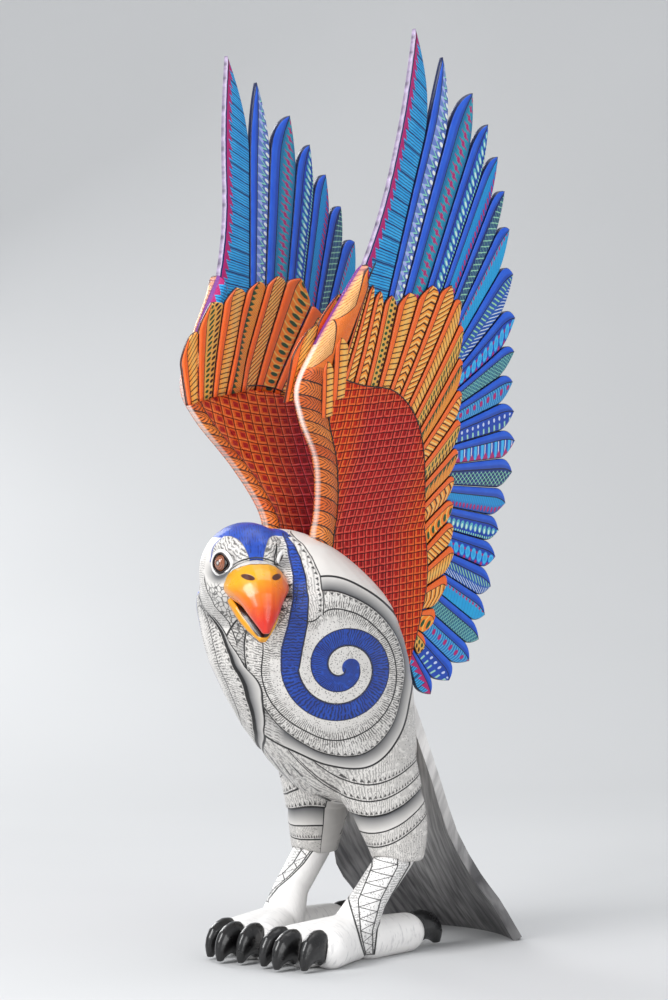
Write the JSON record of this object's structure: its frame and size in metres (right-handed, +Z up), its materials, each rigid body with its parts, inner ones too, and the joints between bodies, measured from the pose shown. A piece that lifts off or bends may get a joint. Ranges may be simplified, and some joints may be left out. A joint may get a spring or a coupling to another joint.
{
  "type": "alebrije figure",
  "caption": "Hand-carved and painted wooden bird figure standing on clawed feet, with raised feathered wings that lift out of the back.",
  "frame": {"origin": "on the floor, under the middle of the figure's box; the feet, claws and tail stand on z = 0", "axes": "+Z up; the bird faces -Y; its left side is +X"},
  "size_m": [0.2122, 0.3426, 0.752],
  "materials": {
    "white_linework": "satin",
    "white_ground": "satin",
    "beak_paint": "satin",
    "eye_paint": "gloss",
    "claw_paint": "gloss",
    "feather_paint": "satin",
    "covert_paint": "satin",
    "arm_paint": "satin",
    "red_check": "satin",
    "bare_wood": "matte"
  },
  "bodies": {
    "root": {"torso": "white_linework", "head": "white_linework", "upper_beak": "beak_paint", "lower_beak": "beak_paint", "left_eye": "eye_paint", "right_eye": "eye_paint", "tail_fan": "white_ground", "tail_dowels": "bare_wood", "neck_dowel": "bare_wood", "left_thigh": "white_linework", "left_foot": "white_ground", "left_hip_dowel": "bare_wood", "left_ankle_dowel": "bare_wood", "left_inner_claw": "claw_paint", "left_middle_claw": "claw_paint", "left_outer_claw": "claw_paint", "left_rear_claw": "claw_paint", "right_thigh": "white_linework", "right_foot": "white_ground", "right_hip_dowel": "bare_wood", "right_ankle_dowel": "bare_wood", "right_inner_claw": "claw_paint", "right_middle_claw": "claw_paint", "right_outer_claw": "claw_paint", "right_rear_claw": "claw_paint"},
    "left_wing": {"left_wing_board": "red_check", "left_wing_arm": "arm_paint", "left_primary_1": "feather_paint", "left_primary_2": "feather_paint", "left_primary_3": "feather_paint", "left_primary_4": "feather_paint", "left_primary_5": "feather_paint", "left_primary_6": "feather_paint", "left_primary_7": "feather_paint", "left_primary_8": "feather_paint", "left_secondaries": "feather_paint", "left_outer_coverts": "covert_paint", "left_inner_coverts": "covert_paint"},
    "right_wing": {"right_wing_board": "red_check", "right_wing_arm": "arm_paint", "right_primary_1": "feather_paint", "right_primary_2": "feather_paint", "right_primary_3": "feather_paint", "right_primary_4": "feather_paint", "right_primary_5": "feather_paint", "right_primary_6": "feather_paint", "right_primary_7": "feather_paint", "right_primary_8": "feather_paint", "right_secondaries": "feather_paint", "right_outer_coverts": "covert_paint", "right_inner_coverts": "covert_paint"}
  },
  "joints": [
    {"name": "left_wing_lift", "type": "slide", "parent": "root", "child": "left_wing", "axis": [0, 0.6, 0.8], "range_m": [0, 0.055]},
    {"name": "right_wing_lift", "type": "slide", "parent": "root", "child": "right_wing", "axis": [0, 0.6, 0.8], "range_m": [0, 0.055]}
  ]
}
